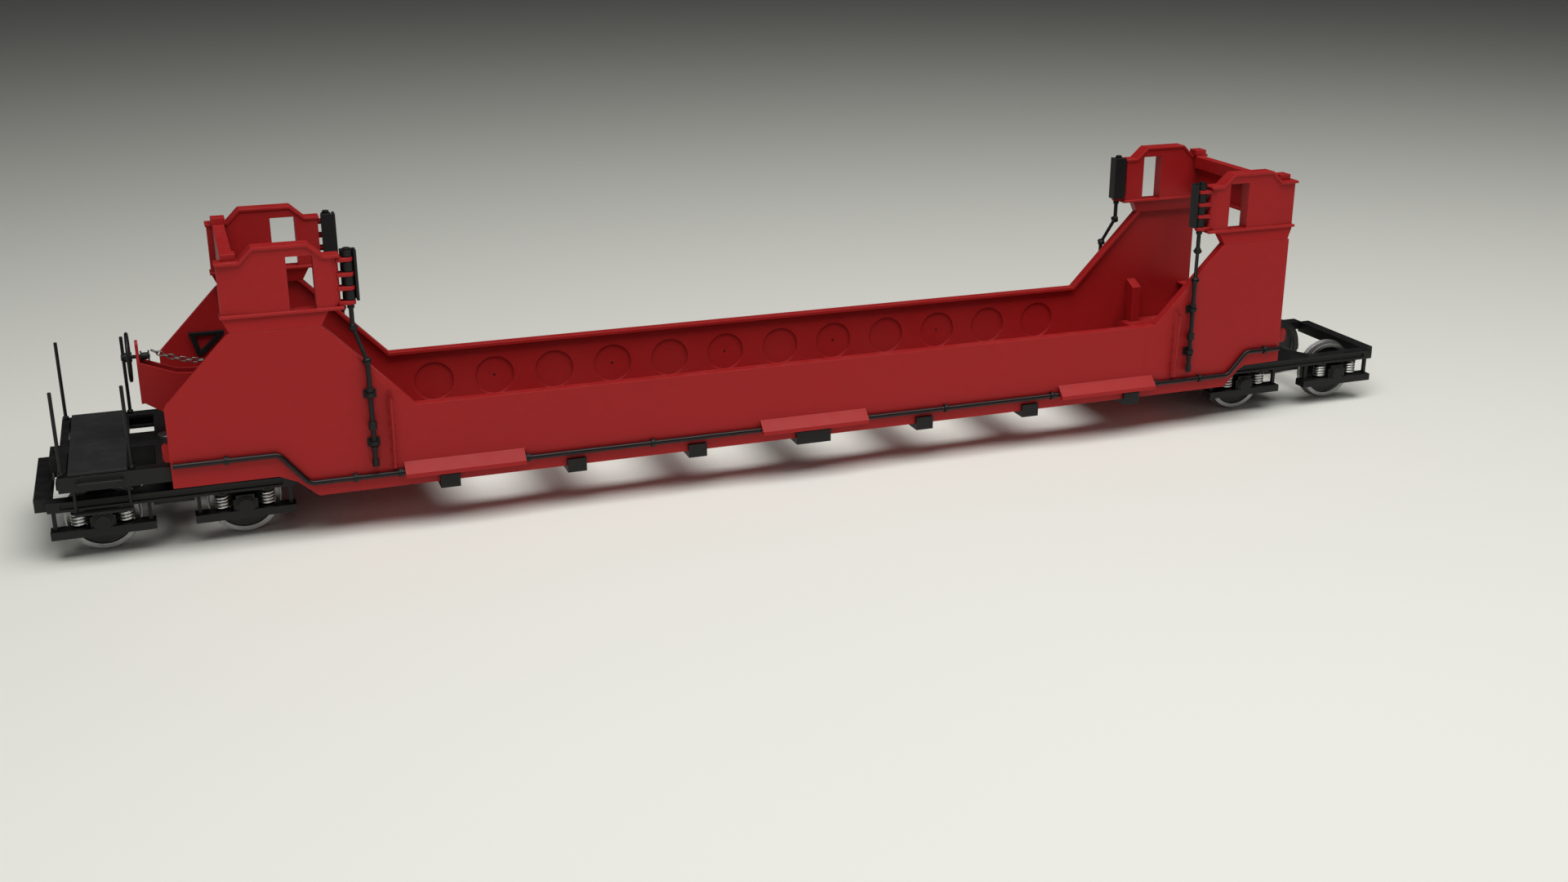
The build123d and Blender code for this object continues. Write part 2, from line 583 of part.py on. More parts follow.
def link_shaft():
    """Slanting rod with a cup over the ball at each end."""
    up = (UPPER_JOINT - LOWER_JOINT).normalized()
    gap = up * (CUP_RI + 0.1)
    shaft = rod(LOWER_JOINT + gap, UPPER_JOINT - gap, 0.85)
    bottom = (Align.CENTER, Align.CENTER, Align.MIN)
    for centre, sign in ((LOWER_JOINT, 1), (UPPER_JOINT, -1)):
        shell = ball(centre, CUP_RO) - ball(centre, CUP_RI)
        cut_plane = Plane(origin=centre + up * (sign * 0.35), z_dir=up * sign)
        shaft += shell & (cut_plane * Cylinder(4, 6, align=bottom))
    return shaft


def lower_shaft():
    shaft = rod_z(SHAFT_X, -SHAFT_Y, SHAFT_BOT, LOWER_JOINT.Z, SHAFT_R)
    shaft += ball(LOWER_JOINT, BALL_R)
    for z0, z1, radius in COLLARS:
        shaft += rod_z(SHAFT_X, -SHAFT_Y, z0, z1, radius)
    # hexagonal lower end
    shaft += Pos(SHAFT_X, -SHAFT_Y, SHAFT_BOT) * extrude(RegularPolygon(1.5, 6), amount=3.2)
    return shaft


def shaft_bracket(z):
    pad, eye_r, half_t = 2.7, 1.9, 0.8
    bracket = box(SHAFT_X - pad, SHAFT_X + pad, -SIDE_Y - 0.5, -SIDE_Y, z - 1.9, z + 1.9)
    bracket += box(SHAFT_X - eye_r, SHAFT_X + eye_r, -SHAFT_Y, -SIDE_Y, z - half_t, z + half_t)
    bracket += rod_z(SHAFT_X, -SHAFT_Y, z - half_t, z + half_t, eye_r)
    bracket -= rod_z(SHAFT_X, -SHAFT_Y, z - 5, z + 5, SHAFT_R + RUN)
    return bracket


save_corners("guide_flap", guide_flap())
save_corners("hinge_rod", hinge_rod())
save_corners("link_shaft", link_shaft())
save_corners("lower_shaft", lower_shaft())
save("shaft_brackets", *[to_corner(shaft_bracket(z), *signs)
                         for signs in CORNERS.values() for z in BRACKET_Z])

# ---- bogies: frame drawn about its king pin at X = 0, the rest about its axle at X = 0
WHEELBASE = 56.5
AXLE_Z, AXLE_R, JOURNAL_R = 14.5, 2.4, 1.4
FLANGE_R = 15.5
SPRING_X, SPRING_Y, SPRING_SEAT_R = 9.2, 31.0, 3.3
SPRING_R, SPRING_WIRE, SPRING_TURNS = 2.65, 0.58, 4.0
PLATE_Z0, PLATE_Z1 = 9.3, 12.7           # spring plate on the axlebox
SPRING_Z0, SPRING_Z1 = PLATE_Z1 + 0.5, 20.2
SOLE_Z0, SOLE_Z1 = 21.0, 25.3
GUIDE_X, GUIDE_HALF, GUIDE_Y0, GUIDE_Y1, GUIDE_GAP = 18.5, 0.8, 30.6, 32.2, 0.25
WHEEL_PROFILE = [                        # y, radius
    (20.7, 12.2), (20.7, 15.1), (21.1, FLANGE_R), (21.7, FLANGE_R), (22.2, 14.6),
    (25.7, 14.4), (25.7, 12.3), (24.4, 12.0), (24.0, 5.4), (26.2, 4.4), (26.2, AXLE_R + FIT),
    (20.2, AXLE_R + FIT), (20.2, 4.6), (22.0, 5.4), (22.4, 11.9),
]


def bogie_frame():
    frame = box(-8.0, 8.0, -28.0, 28.0, 17.5, SOLE_Z1)
    frame -= box(-6.4, 6.4, 10.5, 26.0, 16.0, 23.8)
    frame -= box(-6.4, 6.4, -26.0, -10.5, 16.0, 23.8)
    for side in SIGNS:
        frame += box(-49.0, 49.0, side * 27.5, side * 34.0, SOLE_Z0, SOLE_Z1)
        gusset = [(-14.0, side * 27.6), (14.0, side * 27.6), (8.0, side * 17.0),
                  (-8.0, side * 17.0)]
        frame += prism_xy(gusset, 23.9, SOLE_Z1)
        # channel in the outer face
        frame -= box(-44.0, 44.0, side * 33.2, side * 36.0, SOLE_Z0 + 1.1, SOLE_Z1 - 1.0)
        for axle_x in (-WHEELBASE / 2, WHEELBASE / 2):
            for k in SIGNS:
                frame += rod_z(axle_x + k * SPRING_X, side * SPRING_Y, SPRING_Z1, SOLE_Z0 + 0.2,
                               SPRING_SEAT_R)
                x = axle_x + k * GUIDE_X
                frame += box(x - GUIDE_HALF, x + GUIDE_HALF, side * GUIDE_Y0, side * GUIDE_Y1,
                             10.3, SOLE_Z0 + 0.2)
    for end in SIGNS:
        frame += box(end * 47.5, end * 54.0, -27.8, 27.8, 19.8, SOLE_Z1)
    frame += rod_z(0, 0, SOLE_Z1 - 0.2, 26.5, PIVOT_R)
    frame -= rod_z(0, 0, 10.0, 30.0, KING_R + RUN)
    # blind coupling bore under the outer headstock
    frame -= rod_z(50.75, 0, 18.0, 23.8, 1.5)
    return frame


def axlebox(side):
    body = box(-5.0, 5.0, side * 27.4, side * 33.6, PLATE_Z0, 19.3)
    body -= (box(-7.0, -3.8, side * 20, side * 40, 17.4, 20)
             + box(3.8, 7.0, side * 20, side * 40, 17.4, 20))
    body += box(-20.5, 20.5, side * 27.4, side * 34.5, PLATE_Z0, PLATE_Z1)
    body += rod_y(0, side * 33.0, side * 34.2, AXLE_Z, 4.1)
    body += rod_y(0, side * 34.0, side * 34.8, AXLE_Z, 3.2)
    slot = GUIDE_HALF + GUIDE_GAP
    for k in SIGNS:
        body += rod_z(k * SPRING_X, side * SPRING_Y, PLATE_Z1 - 0.2, SPRING_Z0, SPRING_SEAT_R)
        body -= box(k * GUIDE_X - slot, k * GUIDE_X + slot, side * (GUIDE_Y0 - GUIDE_GAP),
                    side * (GUIDE_Y1 + GUIDE_GAP), 0, 20)
    body -= rod_y(0, side * 20.0, side * 32.4, AXLE_Z, JOURNAL_R + 0.06)
    return body


def wheel_pair():
    section = face([(radius, y, AXLE_Z) for y, radius in WHEEL_PROFILE])
    wheel = revolve(section, axis=Axis((0, 0, AXLE_Z), (0, 1, 0)))
    return [wheel, swap_sides(wheel)]


def axle():
    return rod_y(0, -26.3, 26.3, AXLE_Z, AXLE_R) + rod_y(0, -31.9, 31.9, AXLE_Z, JOURNAL_R)


def spring(x, y):
    height = SPRING_Z1 - SPRING_Z0 - 2 * SPRING_WIRE - 0.04
    helix = Helix(pitch=height / SPRING_TURNS, height=height, radius=SPRING_R)
    section = Plane(origin=helix @ 0, z_dir=helix % 0) * Circle(SPRING_WIRE)
    coil = sweep(section, path=helix, is_frenet=True)
    return Pos(x, y, SPRING_Z0 + SPRING_WIRE + 0.02) * coil


frame_b = bogie_frame()
AXLE_SETS = {
    "axleboxes": [axlebox(side) for side in SIGNS],
    "wheels": wheel_pair(),
    "axle": [axle()],
    "springs": [spring(k * SPRING_X, side * SPRING_Y) for side in SIGNS for k in SIGNS],
}
for tag, bogie_x in BOGIE_X.items():
    save("bogie_frame_" + tag, Pos(bogie_x, 0, 0) * (frame_b if tag == "b" else swap_ends(frame_b)))
    for number, k in ((1, -1), (2, 1)):
        place = Pos(bogie_x + k * WHEELBASE / 2, 0, 0)
        for name, shapes in AXLE_SETS.items():
            save(f"{name}_{tag}{number}", *[place * shape for shape in shapes])
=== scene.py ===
import json, math
import bpy, bmesh
import numpy as np
from mathutils import Vector, Matrix
from mathutils.bvhtree import BVHTree


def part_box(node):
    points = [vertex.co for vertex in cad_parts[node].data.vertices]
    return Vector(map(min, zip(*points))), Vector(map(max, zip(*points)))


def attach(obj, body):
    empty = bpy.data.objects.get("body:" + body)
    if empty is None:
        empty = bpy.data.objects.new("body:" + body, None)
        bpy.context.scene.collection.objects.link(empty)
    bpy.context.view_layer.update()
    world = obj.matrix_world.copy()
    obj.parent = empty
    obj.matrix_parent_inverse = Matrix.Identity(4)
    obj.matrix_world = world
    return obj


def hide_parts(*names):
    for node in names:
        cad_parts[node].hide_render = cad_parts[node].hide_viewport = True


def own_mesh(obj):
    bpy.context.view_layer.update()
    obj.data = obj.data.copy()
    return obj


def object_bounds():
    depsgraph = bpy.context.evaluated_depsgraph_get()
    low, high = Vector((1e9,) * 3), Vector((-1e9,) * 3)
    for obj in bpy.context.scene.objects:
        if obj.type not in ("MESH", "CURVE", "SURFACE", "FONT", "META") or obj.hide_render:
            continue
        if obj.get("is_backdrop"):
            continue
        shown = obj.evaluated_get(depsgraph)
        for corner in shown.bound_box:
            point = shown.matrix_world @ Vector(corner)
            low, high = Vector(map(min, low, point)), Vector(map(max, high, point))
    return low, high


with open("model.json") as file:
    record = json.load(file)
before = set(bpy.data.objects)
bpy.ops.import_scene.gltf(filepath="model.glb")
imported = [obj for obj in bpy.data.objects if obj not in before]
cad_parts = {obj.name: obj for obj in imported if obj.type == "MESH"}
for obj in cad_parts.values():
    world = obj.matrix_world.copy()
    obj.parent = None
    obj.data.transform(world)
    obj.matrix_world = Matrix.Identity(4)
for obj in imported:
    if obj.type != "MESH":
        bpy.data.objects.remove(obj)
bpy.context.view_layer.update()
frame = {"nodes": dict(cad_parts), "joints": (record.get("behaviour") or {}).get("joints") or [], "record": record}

NODES = frame["nodes"]
BODY = {}
for b, ns in frame["record"]["behaviour"]["bodies"].items():
    for n in ns:
        BODY[n] = b
JOINTS = {j["name"]: j for j in frame["joints"]}
SLOT = {s["node"]: s.get("material_slot") for s in frame["record"]["subparts"]}
MM = 0.001


# ------------------------------------------------------------------ material kit
class Graph:
    """A small helper round one material's node tree. Every length is in metres, in object coordinates, which are the row frame."""

    def __init__(self, name):
        self.mat = bpy.data.materials.new(name)
        self.mat.use_nodes = True
        self.t = self.mat.node_tree
        self.t.nodes.clear()
        self.co = self.new("ShaderNodeTexCoord").outputs["Object"]
        self.geo = self.new("ShaderNodeNewGeometry")

    def new(self, kind, **kw):
        n = self.t.nodes.new(kind)
        for k, v in kw.items():
            setattr(n, k, v)
        return n

    def set(self, sock, v):
        if isinstance(v, bpy.types.NodeSocket):
            self.t.links.new(v, sock)
        elif isinstance(v, (tuple, list)) and len(v) == 3 and len(sock.default_value) == 4:
            sock.default_value = (*v, 1.0)
        else:
            sock.default_value = v

    def math(self, op, a, b=0.0, c=None, clamp=False):
        n = self.new("ShaderNodeMath", operation=op, use_clamp=clamp)
        self.set(n.inputs[0], a)
        self.set(n.inputs[1], b)
        if c is not None:
            self.set(n.inputs[2], c)
        return n.outputs[0]

    def vec(self, op, a, b=(0, 0, 0)):
        n = self.new("ShaderNodeVectorMath", operation=op)
        self.set(n.inputs[0], a)
        if op == "SCALE":
            self.set(n.inputs["Scale"], b)
        else:
            self.set(n.inputs[1], b)
        return n.outputs["Value"] if op in ("DOT_PRODUCT", "LENGTH", "DISTANCE") else n.outputs["Vector"]

    def xyz(self, v):
        n = self.new("ShaderNodeSeparateXYZ")
        self.set(n.inputs[0], v)
        return n.outputs

    def noise(self, scale, detail=3.0, rough=0.55, vector=None, stretch=None, distortion=0.0):
        v = self.co if vector is None else vector
        if stretch:
            v = self.vec("MULTIPLY", v, stretch)
        n = self.new("ShaderNodeTexNoise")
        self.set(n.inputs["Vector"], v)
        n.inputs["Scale"].default_value = scale
        n.inputs["Detail"].default_value = detail
        n.inputs["Roughness"].default_value = rough
        n.inputs["Distortion"].default_value = distortion
        return n.outputs["Fac"]

    def range(self, v, a, b, c=0.0, d=1.0, smooth=False):
        n = self.new("ShaderNodeMapRange", interpolation_type="SMOOTHSTEP" if smooth else "LINEAR")
        for i, x in enumerate((v, a, b, c, d)):
            self.set(n.inputs[i], x)
        return n.outputs[0]

    def mix(self, f, a, b, blend="MIX"):
        n = self.new("ShaderNodeMix", data_type="RGBA", blend_type=blend)
        self.set(n.inputs[0], f)
        self.set(n.inputs[6], a)
        self.set(n.inputs[7], b)
        return n.outputs[2]

    def lerp(self, f, a, b):
        n = self.new("ShaderNodeMix", data_type="FLOAT")
        self.set(n.inputs[0], f)
        self.set(n.inputs[2], a)
        self.set(n.inputs[3], b)
        return n.outputs[0]

    def edge(self, radius, low=0.012, high=0.12):
        """1 on a sharp outer edge or corner, 0 on a flat face."""
        b = self.new("ShaderNodeBevel", samples=4)
        b.inputs["Radius"].default_value = radius
        d = self.vec("DOT_PRODUCT", b.outputs[0], self.geo.outputs["Normal"])
        return self.range(self.math("SUBTRACT", 1.0, d), low, high, smooth=True)

    def soft_normal(self, radius):
        b = self.new("ShaderNodeBevel", samples=4)
        b.inputs["Radius"].default_value = radius
        return b.outputs[0]

    def cavity(self, distance, low=0.35, high=0.95):
        n = self.new("ShaderNodeAmbientOcclusion", samples=4)
        n.inputs["Distance"].default_value = distance
        return self.range(n.outputs["AO"], low, high, 1.0, 0.0, smooth=True)

    def bump(self, height, strength, distance, normal=None):
        n = self.new("ShaderNodeBump")
        n.inputs["Strength"].default_value = strength
        n.inputs["Distance"].default_value = distance
        self.set(n.inputs["Height"], height)
        if normal is not None:
            self.set(n.inputs["Normal"], normal)
        return n.outputs[0]

    def finish(self, color, rough, metal=0.0, normal=None, coat=0.0, coat_rough=0.2, spec=0.5, aniso=0.0):
        p = self.new("ShaderNodeBsdfPrincipled")
        self.set(p.inputs["Base Color"], color)
        self.set(p.inputs["Roughness"], rough)
        self.set(p.inputs["Metallic"], metal)
        self.set(p.inputs["Coat Weight"], coat)
        self.set(p.inputs["Coat Roughness"], coat_rough)
        self.set(p.inputs["Specular IOR Level"], spec)
        if aniso:
            p.inputs["Anisotropic"].default_value = aniso
        if normal is not None:
            self.set(p.inputs["Normal"], normal)
        o = self.new("ShaderNodeOutputMaterial")
        self.t.links.new(p.outputs[0], o.inputs[0])
        return self.mat


def paint(name, base, deep, worn, bare, rough=0.38, grain=1.0, wear=1.0, edge_r=0.45 * MM, coat=0.12, dust=0.5, streak=0.5, spec=0.45):
    """Sprayed paint on metal: tone drift, fine mottling, vertical weather streaks, lighter rubbed edges with small
    chips, painted shade in the inner corners, settled dust.
    """
    g = Graph(name)
    drift = g.noise(9.0, 3.0, 0.5)
    mottle = g.noise(160.0, 5.0, 0.62)
    speck = g.noise(1400.0, 2.0, 0.5)
    tone = g.math("ADD", g.math("MULTIPLY", drift, 0.55), g.math("MULTIPLY", mottle, 0.45))
    col = g.mix(g.range(tone, 0.30, 0.70, 0.30, 1.0, smooth=True), deep, base)
    # rain streaks, long in Z
    st = g.noise(1.0, 4.0, 0.6, stretch=(210.0, 210.0, 13.0))
    stv = g.math("MULTIPLY", g.range(st, 0.56, 0.80, smooth=True), g.range(g.noise(14.0, 2.0), 0.40, 0.65, smooth=True))
    nz = g.xyz(g.geo.outputs["Normal"])[2]
    side = g.range(g.math("ABSOLUTE", nz), 0.25, 0.6, 1.0, 0.0)
    stv = g.math("MULTIPLY", g.math("MULTIPLY", stv, side), streak)
    col = g.mix(g.math("MULTIPLY", stv, 0.40), col, tuple(c * 0.8 for c in deep))
    # painted shade in inner corners: the occlusion mask, broken up by noise, darkens the colour there
    occlusion_shade = g.math("MULTIPLY", g.cavity(5.0 * MM), g.range(g.noise(240.0, 4.0, 0.65), 0.25, 0.6))
    # the darkened deep red is painted shade in the corners
    col = g.mix(g.math("MULTIPLY", occlusion_shade, 0.42), col, tuple(c * 0.30 for c in deep))
    # dust on the faces that look up
    up = g.math("MULTIPLY", g.range(nz, 0.55, 0.98), g.range(g.noise(120.0, 5.0, 0.7), 0.42, 0.72, smooth=True))
    col = g.mix(g.math("MULTIPLY", up, 0.10 * dust), col, (0.30, 0.27, 0.24))
    # rubbed edges and chips
    e = g.edge(edge_r)
    rub = g.math("MULTIPLY", e, g.range(mottle, 0.30, 0.62, 0.35, 1.0), clamp=True)
    col = g.mix(g.math("MULTIPLY", rub, 0.55 * wear), col, worn)
    chip = g.math("MULTIPLY", g.range(e, 0.55, 0.85), g.range(g.noise(520.0, 3.0, 0.7), 0.635, 0.675), clamp=True)
    chip = g.math("MULTIPLY", chip, wear, clamp=True)
    col = g.mix(g.math("MULTIPLY", chip, 0.8), col, bare)
    r = g.math("ADD", rough, g.math("MULTIPLY", g.math("SUBTRACT", mottle, 0.5), 0.22))
    # roughness rises with the dust, the streaks and the painted corner shade
    r = g.math("ADD", r, g.math("MULTIPLY", g.math("ADD", g.math("ADD", up, stv), occlusion_shade), 0.14))
    r = g.lerp(rub, r, g.math("SUBTRACT", r, 0.07))
    h = g.math("ADD", g.math("MULTIPLY", g.noise(900.0, 2.0, 0.5), 0.35 * grain), g.math("MULTIPLY", g.noise(42.0, 1.0, 0.4), 0.9))
    h = g.math("ADD", h, g.math("MULTIPLY", speck, 0.22 * grain))
    h = g.math("SUBTRACT", h, g.math("MULTIPLY", chip, 0.35))
    nrm = g.bump(h, 0.22, 0.12 * MM)
    metal = g.math("MULTIPLY", chip, 0.7)
    return g.finish(col, r, metal, nrm, coat=coat, coat_rough=0.3, spec=spec)


def steel(name, light, dark, rough=0.32, stretch=(1, 1, 1), scale=900.0, gap_shade_strength=0.6, gap_shade_color=(0.045, 0.032, 0.024)):
    """Bare steel: drawn or turned grain, painted shade in the gaps (darker, rougher and less metallic where occluded),
    a few rust freckles.
    """
    g = Graph(name)
    grain = g.noise(scale, 3.0, 0.6, stretch=stretch)
    cloud = g.noise(120.0, 4.0, 0.6)
    col = g.mix(g.range(g.math("ADD", g.math("MULTIPLY", grain, 0.5), g.math("MULTIPLY", cloud, 0.5)), 0.35, 0.65), dark, light)
    # painted shade in the gaps: where occluded, broken up by noise, the steel goes dark brown, rougher and less
    # metallic
    occlusion_shade = g.cavity(2.2 * MM, 0.25, 0.9)
    gap_shade = g.math("MULTIPLY", occlusion_shade, g.range(g.noise(700.0, 3.0), 0.3, 0.6), clamp=True)
    col = g.mix(g.math("MULTIPLY", gap_shade, gap_shade_strength), col, gap_shade_color)
    rust = g.range(g.noise(430.0, 4.0, 0.7), 0.66, 0.74)
    col = g.mix(g.math("MULTIPLY", rust, 0.35), col, (0.16, 0.06, 0.025))
    r = g.math("ADD", rough, g.math("MULTIPLY", g.math("SUBTRACT", grain, 0.5), 0.25))
    r = g.math("ADD", r, g.math("MULTIPLY", g.math("ADD", gap_shade, rust), 0.25))
    m = g.math("SUBTRACT", 0.95, g.math("MULTIPLY", g.math("ADD", gap_shade, rust), 0.6), clamp=True)
    nrm = g.bump(grain, 0.25, 0.05 * MM)
    return g.finish(col, r, m, nrm)


def wheel_steel(name, cx, cz, r_rim0, r_rim1):
    """A turned wheel: blackened web, light turned rim and tread. Rings follow the wheel's own centre, so they turn with it."""
    g = Graph(name)
    s = g.xyz(g.co)
    dx, dz = g.math("SUBTRACT", s[0], cx), g.math("SUBTRACT", s[2], cz)
    rad = g.math("SQRT", g.math("ADD", g.math("MULTIPLY", dx, dx), g.math("MULTIPLY", dz, dz)))
    ang = g.math("ARCTAN2", dz, dx)
    comb = g.new("ShaderNodeCombineXYZ")
    g.set(comb.inputs[0], g.math("MULTIPLY", rad, 5200.0))
    g.set(comb.inputs[1], g.math("MULTIPLY", ang, 1.3))
    g.set(comb.inputs[2], g.math("MULTIPLY", s[1], 5200.0))
    rings = g.noise(1.0, 3.0, 0.6, vector=comb.outputs[0])
    cloud = g.noise(190.0, 4.0, 0.6)
    rim = g.range(g.math("ADD", rad, g.math("MULTIPLY", g.math("SUBTRACT", cloud, 0.5), 0.35 * MM)), r_rim0, r_rim1, smooth=True)
    rim = g.math("MULTIPLY", rim, g.range(g.math("ABSOLUTE", s[1]), 21.15 * MM, 21.75 * MM))
    bright = g.mix(g.range(rings, 0.3, 0.7), (0.24, 0.24, 0.24), (0.42, 0.42, 0.415))
    black = g.mix(g.range(cloud, 0.35, 0.65), (0.0065, 0.0065, 0.0070), (0.0125, 0.0120, 0.0120))
    col = g.mix(rim, black, bright)
    dirt = g.range(g.noise(330.0, 5.0, 0.7), 0.56, 0.74)
    col = g.mix(g.math("MULTIPLY", dirt, 0.35), col, (0.035, 0.026, 0.02))
    r = g.lerp(rim, 0.52, g.math("ADD", 0.30, g.math("MULTIPLY", rings, 0.20)))
    r = g.math("ADD", r, g.math("MULTIPLY", dirt, 0.15))
    m = g.math("MULTIPLY", rim, g.math("SUBTRACT", 0.92, g.math("MULTIPLY", dirt, 0.5)))
    nrm = g.bump(rings, 0.35, 0.06 * MM)
    return g.finish(col, r, m, nrm)


def spring_steel(name, cx, dx, cy, r_in, r_out):
    """Bright drawn wire on the outside of the coil, with painted shade on the inside: near black, rougher and not
    metallic there. The distances are from each spring's own upright axis.
    """
    g = Graph(name)
    s = g.xyz(g.co)
    x = g.math("SUBTRACT", g.math("ABSOLUTE", g.math("SUBTRACT", s[0], cx)), dx)
    y = g.math("SUBTRACT", g.math("ABSOLUTE", s[1]), cy)
    rad = g.math("SQRT", g.math("ADD", g.math("MULTIPLY", x, x), g.math("MULTIPLY", y, y)))
    grain = g.noise(1500.0, 3.0, 0.6)
    oil = g.noise(600.0, 4.0, 0.65)
    # mask: 1 on the outside of the coil, 0 on its inside, which gets painted shade
    lit_outside = g.range(g.math("ADD", rad, g.math("MULTIPLY", g.math("SUBTRACT", oil, 0.5), 0.25 * MM)), r_in, r_out, smooth=True)
    bright = g.mix(g.range(grain, 0.35, 0.65), (0.46, 0.46, 0.455), (0.72, 0.72, 0.71))
    # the near black colour is painted shade on the inside of the coil
    col = g.mix(lit_outside, (0.010, 0.009, 0.008), bright)
    col = g.mix(g.range(oil, 0.60, 0.72, 0.0, 0.5), col, (0.05, 0.035, 0.024))
    r = g.math("ADD", g.lerp(lit_outside, 0.55, 0.26), g.math("MULTIPLY", g.math("SUBTRACT", grain, 0.5), 0.20))
    return g.finish(col, r, g.math("MULTIPLY", lit_outside, 0.95), g.bump(grain, 0.25, 0.04 * MM))


# ------------------------------------------------------------------ materials
RED = (0.400, 0.0135, 0.0150)
RED_DEEP = (0.345, 0.0112, 0.0125)
RED_WORN = (0.55, 0.045, 0.043)
BARE = (0.10, 0.085, 0.078)
M = {}
M["red_paint"] = paint("red_paint_on_steel", RED, RED_DEEP, RED_WORN, BARE, rough=0.46, coat=0.03, spec=0.22)
M["black_paint"] = paint("black_paint_on_steel", (0.0085, 0.0085, 0.0090), (0.0050, 0.0050, 0.0054), (0.034, 0.033, 0.032), (0.13, 0.12, 0.11), rough=0.46, dust=0.30, streak=0.3, wear=0.8, coat=0.03, spec=0.28)
M["deck_grey"] = paint("walkway_paint", (0.0215, 0.0220, 0.0228), (0.0140, 0.0145, 0.0150), (0.060, 0.059, 0.058), (0.16, 0.15, 0.14), rough=0.66, grain=3.5, dust=0.25, streak=0.0, coat=0.0, spec=0.30)
M["pipe_brown"] = paint("brake_pipe_paint", (0.0095, 0.0034, 0.0034), (0.0060, 0.0024, 0.0024), (0.055, 0.020, 0.019), (0.13, 0.11, 0.10), rough=0.30, dust=0.12, streak=0.0, wear=0.5, coat=0.12, spec=0.25)
M["bright_steel"] = steel("drawn_steel_wire", (0.66, 0.66, 0.655), (0.42, 0.42, 0.42), rough=0.28, scale=1500.0)
M["chain_steel"] = steel("chain_steel", (0.34, 0.33, 0.31), (0.17, 0.16, 0.15), rough=0.34, scale=1500.0, gap_shade_strength=0.7)
M["axle_steel"] = steel("turned_axle_steel", (0.34, 0.33, 0.32), (0.17, 0.165, 0.16), rough=0.36, stretch=(0.3, 6.0, 0.3), scale=600.0, gap_shade_strength=0.8)
M["plain_steel"] = steel("machined_steel", (0.42, 0.42, 0.42), (0.26, 0.26, 0.26), rough=0.36, scale=1000.0)


# ------------------------------------------------------------------ mesh kit
def link(me_or_bm, name, mat, body, smooth=True):
    """A new piece from a bmesh."""
    me = bpy.data.meshes.new(name)
    me_or_bm.normal_update()
    me_or_bm.to_mesh(me)
    me_or_bm.free()
    for p in me.polygons:
        p.use_smooth = smooth
    o = bpy.data.objects.new(name, me)
    bpy.context.scene.collection.objects.link(o)
    o.data.materials.append(mat)
    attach(o, body)
    return o


def sweep_tube(bm, path, radius, sides=14, closed=False, cap=True):
    """A round tube along a list of points, with frames carried along the path."""
    P = [Vector(p) for p in path]
    n = len(P)
    tang = []
    for i in range(n):
        a = P[(i - 1) % n] if closed or i > 0 else P[i]
        b = P[(i + 1) % n] if closed or i < n - 1 else P[i]
        tang.append((b - a).normalized())
    up = Vector((0, 0, 1)) if abs(tang[0].z) < 0.9 else Vector((1, 0, 0))
    u = (up - tang[0] * up.dot(tang[0])).normalized()
    rings = []
    for i in range(n):
        u = (u - tang[i] * u.dot(tang[i])).normalized()
        v = tang[i].cross(u)
        rings.append([bm.verts.new(P[i] + (u * math.cos(2 * math.pi * k / sides) + v * math.sin(2 * math.pi * k / sides)) * radius) for k in range(sides)])
    m = n if closed else n - 1
    for i in range(m):
        A, B = rings[i], rings[(i + 1) % n]
        off = 0
        if closed and i == n - 1:                     # find the turn that closes the frame with the least twist
            off = min(range(sides), key=lambda s: (A[0].co - B[s].co).length)
        for k in range(sides):
            bm.faces.new((A[k], A[(k + 1) % sides], B[(k + 1 + off) % sides], B[(k + off) % sides]))
    if cap and not closed:
        for ring, end, sgn in ((rings[0], P[0], -1), (rings[-1], P[-1], 1)):
            inner = [bm.verts.new(end + (v.co - end) * 0.62 + tang[0 if sgn < 0 else -1] * sgn * radius * 0.30) for v in ring]
            tip = bm.verts.new(end + tang[0 if sgn < 0 else -1] * sgn * radius * 0.42)
            for k in range(sides):
                a, b, c, d = ring[k], ring[(k + 1) % sides], inner[(k + 1) % sides], inner[k]
                if sgn < 0:
                    bm.faces.new((b, a, d, c))
                    bm.faces.new((inner[(k + 1) % sides], inner[k], tip))
                else:
                    bm.faces.new((a, b, c, d))
                    bm.faces.new((inner[k], inner[(k + 1) % sides], tip))


def lathe(bm, origin, axis, profile, sides=24):
    """A solid of revolution. profile = [(height along the axis, radius), ...], both ends at radius 0."""
    o, w = Vector(origin), Vector(axis).normalized()
    u = w.orthogonal().normalized()
    v = w.cross(u)
    rings = []
    for h, r in profile:
        if r <= 1e-9:
            rings.append([bm.verts.new(o + w * h)])
        else:
            rings.append([bm.verts.new(o + w * h + (u * math.cos(2 * math.pi * k / sides) + v * math.sin(2 * math.pi * k / sides)) * r) for k in range(sides)])
    for A, B in zip(rings, rings[1:]):
        for k in range(sides):
            k2 = (k + 1) % sides
            if len(A) == 1 and len(B) > 1:
                bm.faces.new((A[0], B[k2], B[k]))
            elif len(B) == 1 and len(A) > 1:
                bm.faces.new((A[k], A[k2], B[0]))
            elif len(A) > 1:
                bm.faces.new((A[k], A[k2], B[k2], B[k]))


def dome(bm, origin, axis, r, h=None, sides=16):
    """A round rivet head, sunk a little into its plate."""
    h = r * 0.62 if h is None else h
    prof = [(-0.15 * MM, 0.0), (-0.15 * MM, r)]
    for i in range(5):
        a = math.pi / 2 * i / 5
        prof.append((h * math.sin(a), r * math.cos(a)))
    prof.append((h, 0.0))
    lathe(bm, origin, axis, prof, sides)


